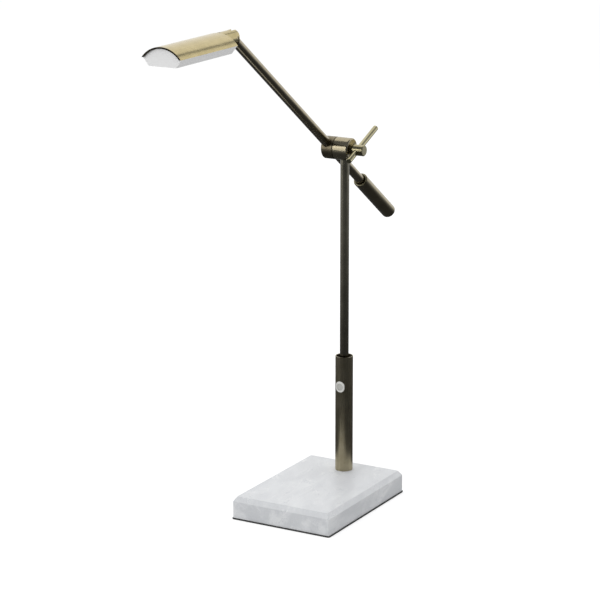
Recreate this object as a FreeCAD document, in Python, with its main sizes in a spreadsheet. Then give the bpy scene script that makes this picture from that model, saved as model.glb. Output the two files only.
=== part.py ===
import FreeCAD, Part
import math
import os
import re
import Sketcher

# Balance-arm desk lamp: a marble slab on a dark pad, a brass post with a dimmer sleeve, a barrel
# hub with a clamp knob, a counterweighted arm and a long arched LED head.
# The origin is the middle of the pad's underside. +Z is up, the head reaches towards -Y and
# the clamp knob points to +X. All lengths are millimetres and all angles degrees.

SIZES = {
    # Slab and pad
    "marble_width": 154.6,
    "marble_length": 220.0,
    "marble_thickness": 31.0,
    "chamfer_run": 4.8,
    "chamfer_drop": 7.0,
    "corner_ease": 2.0,
    "pad_thickness": 2.0,
    "pad_overhang": 1.1,
    "post_inset": 36.3,
    "recess_radius": 24.0,
    "recess_depth": 14.0,
    "rod_hole_radius": 5.6,
    "cord_hole_radius": 4.5,
    "cord_hole_rise": 7.0,
    # Cord grommet
    "grommet_flange_radius": 6.3,
    "grommet_flange": 1.5,
    "grommet_length": 12.0,
    "grommet_bore_radius": 2.8,
    # Post fixing under and above the slab
    "washer_radius": 18.0,
    "washer_thickness": 2.5,
    "nut_flats": 17.0,
    "nut_thickness": 5.0,
    "rod_radius": 5.0,
    "rod_bore_radius": 3.2,
    "rod_tail": 1.5,
    "rod_top": 2.0,
    "foot_height": 16.0,
    "foot_edge": 1.0,
    # Sleeve and post
    "sleeve_radius": 12.7,
    "sleeve_wall": 1.2,
    "bush_drop": 10.0,
    "bush_height": 18.0,
    "tube_radius": 6.35,
    "tube_wall": 1.0,
    # Dimmer
    "button_height": 160.0,
    "bush_above_button": 16.0,
    "bezel_radius": 6.6,
    "bezel_straight": 1.6,
    "bezel_bore_radius": 5.1,
    "bezel_neck_radius": 5.9,
    "bezel_neck": 2.4,
    "bezel_rise": 0.6,
    "bezel_skirt": 4.6,
    "bezel_edge": 0.7,
    "button_sink": 0.25,
    "button_length": 5.2,
    "button_edge": 0.5,
    "button_flange_radius": 5.7,
    "button_flange": 1.2,
    "button_travel": 1.0,
    "switch_width": 8.0,
    "plunger_radius": 1.8,
    "plunger_length": 1.2,
    "board_width": 17.0,
    "board_length": 58.0,
    "board_thickness": 1.6,
    "board_offset": 1.4,
    "holder_margin": 3.0,
    "holder_channel": 9.0,
    "holder_back": 3.0,
    "board_screw_radius": 1.25,
    "board_screw_head_radius": 2.2,
    "board_screw_head": 1.4,
    "board_screw_length": 6.0,
    "board_screw_inset": 5.0,
    "lead_radius": 1.5,
    # Hub on the post
    "hub_height": 505.3,
    "hub_radius": 16.0,
    "hub_length": 23.2,
    "hub_edge": 2.0,
    "socket_depth": 7.5,
    "seam_gap": 0.6,
    "seam_inset": 0.9,
    "swivel_length": 18.5,
    "swivel_edge": 2.5,
    "arm_inset": 10.2,
    "spigot_radius": 7.0,
    "spigot_length": 14.0,
    "spigot_end_gap": 0.3,
    "wire_hole_radius": 2.5,
    "wire_groove": 2.6,
    "lead_hole_radius": 1.1,
    "lead_hole_offset": 5.5,
    # Clamp knob
    "screw_radius": 3.0,
    "screw_inner": 10.0,
    "knob_washer_radius": 6.5,
    "knob_washer": 1.2,
    "knob_neck_radius": 5.0,
    "knob_neck": 1.5,
    "knob_radius": 7.8,
    "knob_length": 16.9,
    "knob_edge": 0.8,
    "knob_screw_depth": 4.6,
    "bar_radius": 4.0,
    "bar_back": 58.3,
    "bar_front": 28.7,
    "bar_slope": 23.3,
    "bar_inset": 6.0,
    "bar_edge": 0.6,
    # Arm
    "arm_radius": 6.7,
    "arm_slope": 35.7,
    "arm_reach": 327.3,
    "tip_gap": 12.5,
    "grub_radius": 2.5,
    "grub_length": 8.0,
    "grub_hex_flats": 2.5,
    "grub_hex_depth": 2.5,
    "tongue_thickness": 6.0,
    "tongue_radius": 6.0,
    "tongue_collar": 1.5,
    "tongue_plug": 16.0,
    "pin_radius": 2.0,
    "pin_inset": 0.5,
    # Counterweight
    "weight_start": 107.6,
    "weight_length": 110.4,
    "weight_radius": 10.6,
    "weight_wall": 2.2,
    "weight_end_wall": 4.0,
    "weight_edge": 3.5,
    "weight_lip": 0.8,
    "weight_recess": 3.0,
    "weight_socket": 22.0,
    "stud_radius": 3.0,
    "stud_grip": 12.0,
    # Knuckle between arm and head
    "knuckle_radius": 10.0,
    "knuckle_tail": 5.1,
    "knuckle_edge": 0.8,
    "slot_width": 6.6,
    "slot_depth": 7.0,
    "bolt_radius": 3.0,
    "bolt_grip": 11.0,
    "bolt_head_radius": 5.0,
    "bolt_head": 4.0,
    "bolt_hex_flats": 4.0,
    "bolt_hex_depth": 2.2,
    "roll_washer_radius": 7.0,
    "roll_washer": 1.0,
    "spring_washer_radius": 6.0,
    "spring_washer": 1.0,
    # Head
    "head_width": 58.2,
    "head_rise": 14.7,
    "head_length": 136.0,
    "head_gap": 31.6,
    "shell_wall": 2.2,
    "edge_drop": 5.0,
    "end_plate_inset": 0.5,
    "end_plate": 2.5,
    "diffuser_drop": 10.7,
    "diffuser_flat": 40.5,
    "tray_edge_inset": 0.6,
    "diffuser_inset": 2.8,
    "diffuser_wall": 1.8,
    "head_fit": 0.15,
    "frame_plate": 2.5,
    "frame_start": 12.0,
    "frame_web": 2.5,
    "frame_web_spread": 15.0,
    "led_board_width": 22.0,
    "led_board_margin": 4.0,
    "led_board_thickness": 1.6,
    "led_width": 3.0,
    "led_height": 0.8,
    "plate_screw_radius": 1.5,
    "plate_screw_head_radius": 2.8,
    "plate_screw_head": 1.8,
    "plate_screw_length": 10.0,
    "plate_screw_spread": 16.0,
    "plate_screw_boss_radius": 3.0,
    # Shared by every fit and cut
    "fit_gap": 0.05,
    "overrun": 5.0,
}
LED_ROWS = 2
LED_COLUMNS = 14

# Places worked out from the sizes above, each written once and used by name.
PLACES = {
    "post_setback": "marble_length / 2 - post_inset",
    "marble_top": "pad_thickness + marble_thickness",
    "recess_top": "pad_thickness + recess_depth",
    "nut_top": "recess_top - washer_thickness",
    "rod_low": "nut_top - nut_thickness - rod_tail",
    "rod_high": "marble_top + foot_height + rod_top",
    "sleeve_bore": "sleeve_radius - sleeve_wall",
    "post_low": "button_height + bush_above_button",
    "bush_top": "post_low + bush_height",
    "sleeve_top": "bush_top + bush_drop",
    "tube_bore": "tube_radius - tube_wall",
    "bezel_front": "sleeve_radius + bezel_rise",
    "bezel_inner": "sleeve_bore - bezel_neck",
    "button_front": "bezel_front - button_sink",
    "button_back": "button_front - button_length",
    "board_front": "board_offset + board_thickness",
    "plunger_front": "button_back - button_travel - fit_gap",
    "holder_high": "post_low - fit_gap",
    "board_high": "holder_high - holder_margin",
    "board_low": "board_high - board_length",
    "hub_half": "hub_length / 2",
    "seam_left": "hub_half + seam_gap",
    "arm_side": "seam_left + arm_inset",
    "socket_top": "hub_height - hub_radius + socket_depth",
    "spigot_end": "spigot_length - seam_left",
    "knob_start": "hub_half + knob_washer + knob_neck",
    "bar_place": "knob_start + bar_inset",
    "arm_bore": "arm_radius - tube_wall",
    "arm_end": "arm_reach - tip_gap",
    "weight_end": "weight_start + weight_length",
    "core_start": "weight_start + weight_recess",
    "arm_low": "core_start + weight_socket",
    "core_radius": "weight_radius - weight_wall - fit_gap",
    "core_end": "weight_end - weight_end_wall - fit_gap",
    "pivot_back": "post_setback - arm_reach * cos(arm_slope)",
    "pivot_height": "hub_height + arm_reach * sin(arm_slope)",
    "shell_radius": "(head_width * head_width / 4 + head_rise * head_rise) / (2 * head_rise)",
    "shell_bore": "shell_radius - shell_wall",
    "shell_centre": "head_rise - edge_drop - shell_radius",
    "plate_back": "head_gap + end_plate_inset",
    "plate_front": "plate_back + end_plate",
    "knuckle_front": "plate_back - roll_washer",
    "head_front": "head_gap + head_length",
    "diffuser_start": "plate_back + head_fit",
    "diffuser_end": "head_front - diffuser_inset",
    "diffuser_half": "sqrt((shell_bore - head_fit) * (shell_bore - head_fit)"
                     " - (shell_centre + edge_drop) * (shell_centre + edge_drop))",
    "tray_half": "head_width / 2 - tray_edge_inset",
    "frame_back": "plate_front + frame_start",
    "frame_front": "diffuser_end - diffuser_wall - head_fit",
    "frame_length": "frame_front - frame_back",
    "frame_top": "-edge_drop + frame_plate",
    "frame_width": "2 * sqrt((shell_bore - head_fit) * (shell_bore - head_fit)"
                   " - (frame_top - shell_centre) * (frame_top - shell_centre))",
    "plate_screw_height": "frame_top + plate_screw_boss_radius / 2",
}

doc = FreeCAD.newDocument("desk_lamp")
sheet = doc.addObject("Spreadsheet::Sheet", "Sizes")
for row, (alias, value) in enumerate(SIZES.items(), start=1):
    sheet.set(f"A{row}", alias)
    sheet.set(f"B{row}", str(value))
    sheet.setAlias(f"B{row}", alias)
doc.recompute()
sub_parts = []


def spelled(text, keep_places):
    """An expression with sheet names in front of sizes, and places named or written out."""
    def swap(match):
        word = match.group(0)
        if word in SIZES:
            return f"Sizes.{word}"
        if word in PLACES:
            return f"Places.{word}" if keep_places else f"({spelled(PLACES[word], False)})"
        return word
    return re.sub(r"[a-z_]+[a-z]", swap, text)


places = doc.addObject("App::FeaturePython", "Places")
for name, rule in PLACES.items():
    places.addProperty("App::PropertyFloat", name)
    places.setExpression(name, spelled(rule, False))
doc.recompute()


def bind(thing, name, text):
    """Ties one property of an object to an expression in sizes and places."""
    thing.setExpression(name, spelled(text, True))


def seat(thing, at, axis=None, angle="0"):
    """Puts an object at a place, turned about an axis, both tied to the sizes."""
    if axis:
        turn = FreeCAD.Rotation(FreeCAD.Vector(*axis), 90)
        thing.Placement = FreeCAD.Placement(FreeCAD.Vector(), turn)
        bind(thing, ".Placement.Rotation.Angle", angle)
    for letter, text in zip("xyz", at):
        bind(thing, f".Placement.Base.{letter}", text)


ALONG_X = ((0, 1, 0), "90")
ALONG_Y = ((-1, 0, 0), "90")
DESK = {"at": ("0", "0", "0")}
POST = {"at": ("0", "post_setback", "0")}
HUB = {"at": ("0", "post_setback", "hub_height")}
KNOB = {"at": ("0", "post_setback", "hub_height"), "axis": (1, 0, 0), "angle": "bar_slope"}
ARM = {"at": ("-arm_side", "post_setback", "hub_height"), "axis": (1, 0, 0), "angle": "90 - arm_slope"}
HEAD = {"at": ("-arm_side", "pivot_back", "pivot_height")}
BUTTON = {"at": ("0", "post_setback", "button_height"), "axis": (1, 0, 0), "angle": "90"}
ROLL = {"at": HEAD["at"], "axis": (1, 0, 0), "angle": "90"}


def new_body(label, frame):
    """A sub-part's body, put in its frame and listed for writing."""
    body = doc.addObject("PartDesign::Body", label)
    body.Label = label
    seat(body, **frame)
    sub_parts.append(body)
    return body


def outline_sketch(body, plane, points):
    """A closed outline whose corners are all tied to the sizes."""
    origin_plane = next(item for item in body.Origin.OriginFeatures if item.Role == plane)
    sketch = body.newObject("Sketcher::SketchObject", body.Name + "_outline")
    sketch.AttachmentSupport = [(origin_plane, "")]
    sketch.MapMode = "FlatFace"
    count = len(points)
    corners = [
        FreeCAD.Vector(math.cos(2 * math.pi * step / count), math.sin(2 * math.pi * step / count), 0)
        for step in range(count)
    ]
    for step in range(count):
        sketch.addGeometry(Part.LineSegment(corners[step], corners[(step + 1) % count]), False)
    for step in range(count):
        sketch.addConstraint(Sketcher.Constraint("Coincident", step, 2, (step + 1) % count, 1))
    for step, pair in enumerate(points):
        for kind, text, start in zip(("DistanceX", "DistanceY"), pair, corners[step]):
            index = sketch.addConstraint(Sketcher.Constraint(kind, -1, 1, step, 1, start))
            title = f"{kind}{step}"
            sketch.renameConstraint(index, title)
            bind(sketch, f"Constraints.{title}", text)
    return sketch


def turned(label, frame, points, axis="V_Axis"):
    """A lathe-made piece: its outline turned about its own upright or lengthwise axis."""
    body = new_body(label, frame)
    sketch = outline_sketch(body, "XZ_Plane", points)
    lathe = body.newObject("PartDesign::Revolution", label + "_turned")
    lathe.Profile = sketch
    lathe.ReferenceAxis = (sketch, [axis])
    lathe.Angle = 360
    doc.recompute()
    return body


def ring(bore, radius, low, high):
    """The outline of a plain ring or tube."""
    return [(bore, low), (radius, low), (radius, high), (bore, high)]


def crosswise(points):
    """An outline written as (radius, height), turned to lie along X."""
    return [(height, radius) for radius, height in points]


def feature(body, kind, name, sizes, at, turn=None):
    """One primitive added to a body or cut from it."""
    thing = body.newObject("PartDesign::" + kind, name)
    for title, text in sizes.items():
        bind(thing, title, text)
    if turn:
        seat(thing, at, *turn)
    else:
        seat(thing, at)
    doc.recompute()
    return thing


def drill(body, name, radius, length, at, turn=None):
    """A round hole, with its start and its length given."""
    return feature(body, "SubtractiveCylinder", name, {"Radius": radius, "Height": length}, at, turn)


def round_bar(body, name, radius, length, at, turn=None):
    """A round bar added to a body."""
    return feature(body, "AdditiveCylinder", name, {"Radius": radius, "Height": length}, at, turn)


def block(body, name, size, at, cut=False):
    """A box added to a body or cut from it, from its lowest corner."""
    kind = "SubtractiveBox" if cut else "AdditiveBox"
    return feature(body, kind, name, dict(zip(("Length", "Width", "Height"), size)), at)


def hexagon(body, name, flats, length, at, turn=None, cut=False):
    """A hexagonal prism, given its width across flats."""
    kind = "SubtractivePrism" if cut else "AdditivePrism"
    prism = feature(body, kind, name, {"Circumradius": f"{flats} / 2 / cos(30)", "Height": length}, at, turn)
    prism.Polygon = 6
    doc.recompute()
    return prism


def pick_edges(shape, wanted):
    """The names of a shape's edges that a test picks."""
    return [f"Edge{index}" for index, edge in enumerate(shape.Edges, start=1) if wanted(edge)]


def dress(body, kind, name, wanted, sizes):
    """A fillet or chamfer on the picked edges of the body so far."""
    base = body.Tip
    edges = pick_edges(base.Shape, wanted)
    if not edges:
        raise RuntimeError(f"{body.Label}: no edge found for {name}")
    thing = body.newObject("PartDesign::" + kind, name)
    thing.Base = (base, edges)
    for title, text in sizes.items():
        bind(thing, title, text)
    doc.recompute()
    return thing


def rim_at(radius, height, axis="z"):
    """A test for full circular edges of a radius at a height along an axis."""
    def wanted(edge):
        if not isinstance(edge.Curve, Part.Circle):
            return False
        near = abs(edge.Curve.Radius - radius) < TOUCH
        return near and abs(getattr(edge.CenterOfMass, axis) - height) < TOUCH
    return wanted


def group(label, pieces):
    """Several like pieces kept together as one sub-part of separate solids."""
    thing = doc.addObject("Part::Compound", label)
    thing.Label = label
    thing.Links = pieces
    sub_parts.append(thing)
    doc.recompute()
    return thing


TOUCH = 1e-4


# Slab

def upright(edge):
    """Tells whether an edge stands upright."""
    return edge.BoundBox.ZLength > max(edge.BoundBox.XLength, edge.BoundBox.YLength) + TOUCH


def make_base_pad():
    """The thin dark pad under the slab, which juts out a little all round."""
    body = new_body("base_pad", DESK)
    size = ("marble_width + 2 * pad_overhang", "marble_length + 2 * pad_overhang", "pad_thickness")
    corner = ("-marble_width / 2 - pad_overhang", "-marble_length / 2 - pad_overhang", "0")
    block(body, "pad_sheet", size, corner)
    dress(body, "Fillet", "pad_corners", upright, {"Radius": "corner_ease + pad_overhang"})


def make_marble_base():
    """The marble slab: eased corners, chamfered top, nut recess and cord hole below."""
    body = new_body("marble_base", DESK)
    size = ("marble_width", "marble_length", "marble_thickness")
    block(body, "slab", size, ("-marble_width / 2", "-marble_length / 2", "pad_thickness"))
    top = places.marble_top
    faces = [f"Face{index}" for index, face in enumerate(body.Shape.Faces, start=1)
             if face.BoundBox.ZMin > top - TOUCH]
    slope = body.newObject("PartDesign::Chamfer", "slab_chamfer")
    slope.Base = (doc.getObject("slab"), faces)
    slope.ChamferType = "Two distances"
    bind(slope, "Size", "chamfer_drop")
    bind(slope, "Size2", "chamfer_run")
    doc.recompute()
    dress(body, "Fillet", "slab_corners", upright, {"Radius": "corner_ease"})
    back = "post_setback"
    drill(body, "nut_recess", "recess_radius", "recess_depth + overrun", ("0", back, "pad_thickness - overrun"))
    drill(body, "rod_hole", "rod_hole_radius", "marble_thickness + overrun",
          ("0", back, "recess_top - overrun"))
    cord_hole_start = ("0", back, "pad_thickness + cord_hole_rise")
    drill(body, "cord_hole", "cord_hole_radius", "marble_length / 2", cord_hole_start, ALONG_Y)


def make_cord_grommet():
    """The rubber bush in the slab's rear face where the lead enters."""
    frame = {"at": ("0", "marble_length / 2", "pad_thickness + cord_hole_rise"),
             "axis": (-1, 0, 0), "angle": "90"}
    bush = "cord_hole_radius - fit_gap"
    turned("cord_grommet", frame, [
        ("grommet_bore_radius", "-grommet_length"),
        (bush, "-grommet_length"),
        (bush, "0"),
        ("grommet_flange_radius", "0"),
        ("grommet_flange_radius", "grommet_flange / 2"),
        ("grommet_flange_radius - grommet_flange / 2", "grommet_flange"),
        ("grommet_bore_radius", "grommet_flange"),
    ])


def make_base_fixings():
    """Washer, nut, threaded rod and foot plug that hold the sleeve upright on the slab."""
    turned("base_washer", POST, ring("rod_radius + fit_gap", "washer_radius", "nut_top", "recess_top"))
    nut = new_body("base_nut", POST)
    hexagon(nut, "nut_hex", "nut_flats", "nut_thickness", ("0", "0", "nut_top - nut_thickness"))
    low = ("0", "0", "nut_top - nut_thickness - overrun")
    drill(nut, "nut_bore", "rod_radius + fit_gap", "nut_thickness + 2 * overrun", low)
    turned("threaded_rod", POST, ring("rod_bore_radius", "rod_radius", "rod_low", "rod_high"))
    plug = "sleeve_bore - fit_gap"
    turned("sleeve_foot", POST, [
        ("rod_radius + fit_gap", "marble_top"),
        (plug, "marble_top"),
        (plug, "marble_top + foot_height - foot_edge"),
        (plug + " - foot_edge", "marble_top + foot_height"),
        ("rod_radius + fit_gap", "marble_top + foot_height"),
    ])


# Sleeve, post and dimmer

def make_switch_sleeve():
    """The wide lower sleeve, open at the top, with the dimmer's hole in its front."""
    body = turned("switch_sleeve", POST, ring("sleeve_bore", "sleeve_radius", "marble_top", "sleeve_top"))
    hole = ("0", "0", "button_height")
    drill(body, "button_hole", "bezel_neck_radius + fit_gap", "sleeve_radius + overrun", hole, ((1, 0, 0), "90"))


def make_post():
    """The thin post and the bush that centres it, sunk below the sleeve's rim."""
    bush = ring("tube_radius + fit_gap", "sleeve_bore - fit_gap", "post_low", "bush_top")
    turned("post_bush", POST, bush)
    turned("post_tube", POST, ring("tube_bore", "tube_radius", "post_low", "socket_top - fit_gap"))


def make_button_bezel():
    """The dimmer's oval frame: a flange saddled on the sleeve and a neck through its wall."""
    body = new_body("button_bezel", BUTTON)
    back = "bezel_front - bezel_skirt"
    block(body, "middle", ("2 * bezel_radius", "2 * bezel_straight", "bezel_skirt"),
          ("-bezel_radius", "-bezel_straight", back))
    round_bar(body, "upper_end", "bezel_radius", "bezel_skirt", ("0", "bezel_straight", back))
    round_bar(body, "lower_end", "bezel_radius", "bezel_skirt", ("0", "-bezel_straight", back))
    front = places.bezel_front

    def outer(edge):
        return abs(edge.BoundBox.ZMin - front) < TOUCH and abs(edge.BoundBox.ZMax - front) < TOUCH

    dress(body, "Chamfer", "front_edge", outer, {"Size": "bezel_edge"})
    saddle = ("0", "-sleeve_radius * 2", "0")
    drill(body, "saddle", "sleeve_radius + fit_gap", "sleeve_radius * 4", saddle, ALONG_Y)
    round_bar(body, "neck", "bezel_neck_radius", "bezel_neck + sleeve_wall + bezel_rise - bezel_edge",
              ("0", "0", "bezel_inner"))
    drill(body, "button_bore", "bezel_bore_radius", "sleeve_radius * 2", ("0", "0", "0"))


def make_dimmer_button():
    """The round push button, held from behind by its flange."""
    stem = "bezel_bore_radius - 2 * fit_gap"
    turned("dimmer_button", BUTTON, [
        ("0", "button_back"),
        ("button_flange_radius", "button_back"),
        ("button_flange_radius", "button_back + button_flange"),
        (stem, "button_back + button_flange"),
        (stem, "button_front - button_edge"),
        (stem + " - button_edge", "button_front"),
        ("0", "button_front"),
    ])


def make_dimmer_inside():
    """Holder, circuit board, switch and screws of the dimmer inside the sleeve."""
    holder = new_body("dimmer_holder", POST)
    low = "board_low - holder_margin"
    tall = "board_length + 2 * holder_margin"
    round_bar(holder, "holder_round", "sleeve_bore - fit_gap", tall, ("0", "0", low))
    block(holder, "front_flat", ("2 * sleeve_radius", "sleeve_radius", tall + " + 2 * overrun"),
          ("-sleeve_radius", "-board_offset - sleeve_radius", low + " - overrun"), cut=True)
    channel_depth = "sleeve_bore + board_offset - holder_back"
    block(holder, "wire_channel", ("holder_channel", channel_depth, tall + " + 2 * overrun"),
          ("-holder_channel / 2", "-board_offset", low + " - overrun"), cut=True)
    board = new_body("dimmer_board", POST)
    block(board, "board", ("board_width", "board_thickness", "board_length"),
          ("-board_width / 2", "-board_front", "board_low"))
    switch = new_body("dimmer_switch", BUTTON)
    block(switch, "switch_case", ("switch_width", "switch_width", "plunger_front - plunger_length - board_front"),
          ("-switch_width / 2", "-switch_width / 2", "board_front"))
    round_bar(switch, "plunger", "plunger_radius", "plunger_length", ("0", "0", "plunger_front - plunger_length"))
    screws = []
    for side in (-1, 1):
        for along in ("board_low + board_screw_inset", "board_high - board_screw_inset"):
            across = f"{side} * (board_width / 2 + holder_channel / 2) / 2"
            screws.append(board_screw(across, along))
            reach = "board_screw_length + board_thickness + overrun"
            for body in (board, holder):
                drill(body, "screw_hole", "board_screw_radius + fit_gap", reach,
                      (across, "-board_front - overrun", along), ALONG_Y)
    group("board_screws", screws)


def board_screw(across, along):
    """One cheese-head screw through the dimmer's board into the holder."""
    screw = doc.addObject("Part::Fuse", "board_screw")
    head = doc.addObject("Part::Cylinder", "screw_head")
    shank = doc.addObject("Part::Cylinder", "screw_shank")
    bind(head, "Radius", "board_screw_head_radius")
    bind(head, "Height", "board_screw_head")
    bind(shank, "Radius", "board_screw_radius")
    bind(shank, "Height", "board_screw_length")
    back = "post_setback - board_front"
    seat(head, (across, back + " - board_screw_head", along), *ALONG_Y)
    seat(shank, (across, back, along), *ALONG_Y)
    screw.Base = head
    screw.Tool = shank
    return screw


def make_leads():
    """The lead inside the post, from the dimmer's board up into the hub, and the arm's lead."""
    post_lead = new_body("post_lead", POST)
    round_bar(post_lead, "lead", "lead_radius", "socket_top - fit_gap - board_high",
              ("0", "-board_offset - board_thickness / 2", "board_high"))
    arm_lead = new_body("arm_lead", ARM)
    start = "lead_hole_offset + lead_hole_radius"
    round_bar(arm_lead, "lead", "lead_radius", f"arm_end - tongue_plug - ({start})", ("0", "0", start))


# Hub and clamp knob

def make_hub_body():
    """The fixed half of the barrel: post socket below, spigot bore on the arm's side."""
    points = crosswise([
        ("screw_radius + 2 * fit_gap", "hub_half"),
        ("hub_radius", "hub_half"),
        ("hub_radius", "-hub_half"),
        ("spigot_radius + fit_gap", "-hub_half"),
        ("spigot_radius + fit_gap", "spigot_end + spigot_end_gap"),
        ("screw_radius + 2 * fit_gap", "spigot_end + spigot_end_gap"),
    ])
    body = turned("hub_body", HUB, points, "H_Axis")
    rim = rim_at(sheet.hub_radius, places.hub_half, "x")
    dress(body, "Fillet", "hub_edge", rim, {"Radius": "hub_edge"})
    drill(body, "post_socket", "tube_radius + fit_gap", "socket_depth + overrun",
          ("0", "0", "-hub_radius - overrun"))
    drill(body, "wire_way", "wire_hole_radius", "hub_radius", ("0", "0", "-hub_radius"))


def make_hub_swivel():
    """The turning half of the barrel: seam step, spigot, cross bore and screw holes."""
    inner = "arm_inset"
    step = "arm_inset - seam_gap"
    spigot = "arm_inset + spigot_length"
    groove = "arm_side - wire_hole_radius"
    body = turned("hub_swivel", ARM, crosswise([
        ("0", "arm_inset - swivel_length"),
        ("hub_radius", "arm_inset - swivel_length"),
        ("hub_radius", step),
        ("hub_radius - seam_inset", step),
        ("hub_radius - seam_inset", inner),
        ("spigot_radius", inner),
        ("spigot_radius", groove),
        ("spigot_radius - wire_groove", groove),
        ("spigot_radius - wire_groove", spigot),
        ("0", spigot),
    ]), "H_Axis")
    rim = rim_at(sheet.hub_radius, sheet.arm_inset - sheet.swivel_length, "x")
    dress(body, "Fillet", "swivel_edge", rim, {"Radius": "swivel_edge"})
    drill(body, "arm_hole", "arm_radius + fit_gap", "2 * hub_radius + 2 * overrun",
          ("0", "0", "-hub_radius - overrun"))
    drill(body, "grub_hole", "grub_radius + fit_gap", "hub_radius + overrun", ("0", "0", "0"), ALONG_Y)
    drill(body, "screw_hole", "screw_radius + fit_gap", "screw_inner + spigot_end + overrun",
          ("arm_side - screw_inner", "0", "0"), ALONG_X)
    drill(body, "lead_hole", "lead_hole_radius", "arm_side", ("0", "0", "lead_hole_offset"), ALONG_X)


def make_hub_washer():
    """The friction washer that shows as the dark seam between the two halves."""
    turned("hub_washer", HUB, crosswise(ring(
        "spigot_radius + 2 * fit_gap", "hub_radius - seam_inset", "-seam_left", "-hub_half")), "H_Axis")


def make_clamp_knob():
    """Washer, knob with its neck, clamp screw and cross bar on the barrel's axis."""
    turned("knob_washer", HUB, crosswise(ring(
        "screw_radius + fit_gap", "knob_washer_radius", "hub_half", "hub_half + knob_washer")), "H_Axis")
    neck = "hub_half + knob_washer"
    end = "knob_start + knob_length"
    seat_end = "bar_place - knob_screw_depth"
    knob = turned("clamp_knob", KNOB, crosswise([
        ("screw_radius + fit_gap", neck),
        ("knob_neck_radius", neck),
        ("knob_neck_radius", "knob_start"),
        ("knob_radius - knob_edge", "knob_start"),
        ("knob_radius", "knob_start + knob_edge"),
        ("knob_radius", end + " - knob_edge"),
        ("knob_radius - knob_edge", end),
        ("0", end),
        ("0", seat_end),
        ("screw_radius + fit_gap", seat_end),
    ]), "H_Axis")
    drill(knob, "bar_hole", "bar_radius + fit_gap", "2 * knob_radius + 2 * overrun",
          ("bar_place", "-knob_radius - overrun", "0"), ALONG_Y)
    screw = new_body("clamp_screw", KNOB)
    round_bar(screw, "screw", "screw_radius", "screw_inner - fit_gap + " + seat_end,
              ("fit_gap - screw_inner", "0", "0"), ALONG_X)
    bar = new_body("knob_bar", KNOB)
    round_bar(bar, "bar", "bar_radius", "bar_back + bar_front", ("bar_place", "-bar_front", "0"), ALONG_Y)

    def ends(edge):
        return isinstance(edge.Curve, Part.Circle)

    dress(bar, "Chamfer", "bar_ends", ends, {"Size": "bar_edge"})


# Arm and counterweight

def make_arm():
    """The arm's tube, the grub screw that holds it, its lower plug and its forked tip's tongue."""
    tube = turned("arm_tube", ARM, ring("arm_bore", "arm_radius", "-arm_low", "arm_end"))
    drill(tube, "lead_entry", "lead_hole_radius", "arm_radius + overrun", ("0", "0", "lead_hole_offset"), ALONG_X)
    grub = new_body("arm_grub_screw", ARM)
    start = "arm_radius + fit_gap"
    round_bar(grub, "grub", "grub_radius", "grub_length", ("0", start, "0"), ALONG_Y)
    hexagon(grub, "grub_hex", "grub_hex_flats", "grub_hex_depth + overrun",
            ("0", start + " + grub_length - grub_hex_depth", "0"), ALONG_Y, cut=True)
    turned("arm_end_plug", ARM, ring(
        "stud_radius + fit_gap", "arm_bore - fit_gap", "-arm_low", "stud_grip - arm_low"))
    tongue = new_body("arm_tongue", ARM)
    round_bar(tongue, "plug", "arm_bore - fit_gap", "tongue_plug", ("0", "0", "arm_end - tongue_plug"))
    round_bar(tongue, "collar", "arm_radius", "tongue_collar", ("0", "0", "arm_end"))
    block(tongue, "blade", ("tongue_thickness", "2 * tongue_radius", "tip_gap"),
          ("-tongue_thickness / 2", "-tongue_radius", "arm_end"))
    round_bar(tongue, "eye", "tongue_radius", "tongue_thickness",
              ("-tongue_thickness / 2", "0", "arm_reach"), ALONG_X)
    drill(tongue, "pin_hole", "pin_radius + fit_gap", "tongue_thickness + 2 * overrun",
          ("-tongue_thickness / 2 - overrun", "0", "arm_reach"), ALONG_X)


def make_counterweight():
    """Sleeve with a closed rounded end, the heavy core inside it and the stud that holds it."""
    bore = "weight_radius - weight_wall"
    body = turned("counterweight_sleeve", ARM, [
        ("0", "-weight_end"),
        ("weight_radius", "-weight_end"),
        ("weight_radius", "-weight_start"),
        (bore, "-weight_start"),
        (bore, "weight_end_wall - weight_end"),
        ("0", "weight_end_wall - weight_end"),
    ])
    rim = rim_at(sheet.weight_radius, -places.weight_end)
    dress(body, "Fillet", "rounded_end", rim, {"Radius": "weight_edge"})
    lip = rim_at(sheet.weight_radius, -sheet.weight_start)
    dress(body, "Chamfer", "open_end", lip, {"Size": "weight_lip"})
    stud_hole_end = "-arm_low - stud_grip - fit_gap"
    turned("counterweight_core", ARM, [
        ("0", "-core_end"),
        ("core_radius", "-core_end"),
        ("core_radius", "-core_start"),
        ("arm_radius + fit_gap", "-core_start"),
        ("arm_radius + fit_gap", "-arm_low - fit_gap"),
        ("stud_radius + fit_gap", "-arm_low - fit_gap"),
        ("stud_radius + fit_gap", stud_hole_end),
        ("0", stud_hole_end),
    ])
    stud = new_body("counterweight_stud", ARM)
    round_bar(stud, "stud", "stud_radius", "2 * stud_grip", ("0", "0", "-arm_low - stud_grip"))


# Knuckle and head

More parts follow.
